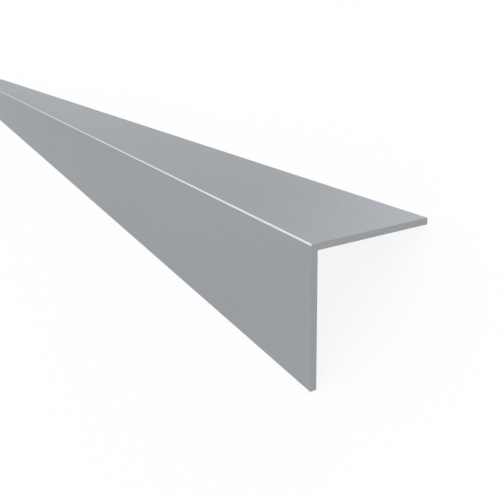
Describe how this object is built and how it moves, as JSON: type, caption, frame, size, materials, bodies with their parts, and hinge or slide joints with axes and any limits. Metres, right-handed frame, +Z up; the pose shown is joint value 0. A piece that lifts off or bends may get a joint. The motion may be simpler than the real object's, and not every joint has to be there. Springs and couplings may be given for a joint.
{
  "type": "metal angle section",
  "caption": "Long straight bar of silver metal angle: equal flat legs at a right angle, a finely rounded heel and square-cut ends, for framing, edging and brackets.",
  "frame": {"origin": "on the floor under the heel, halfway along the bar", "axes": "+X along the bar, +Z up through the heel; one leg slopes down towards +Y and the other towards -Y"},
  "size_m": [1, 0.0564, 0.0294],
  "materials": {
    "anodised_aluminium": "satin"
  },
  "bodies": {
    "root": {"angle_section": "anodised_aluminium"}
  },
  "joints": []
}
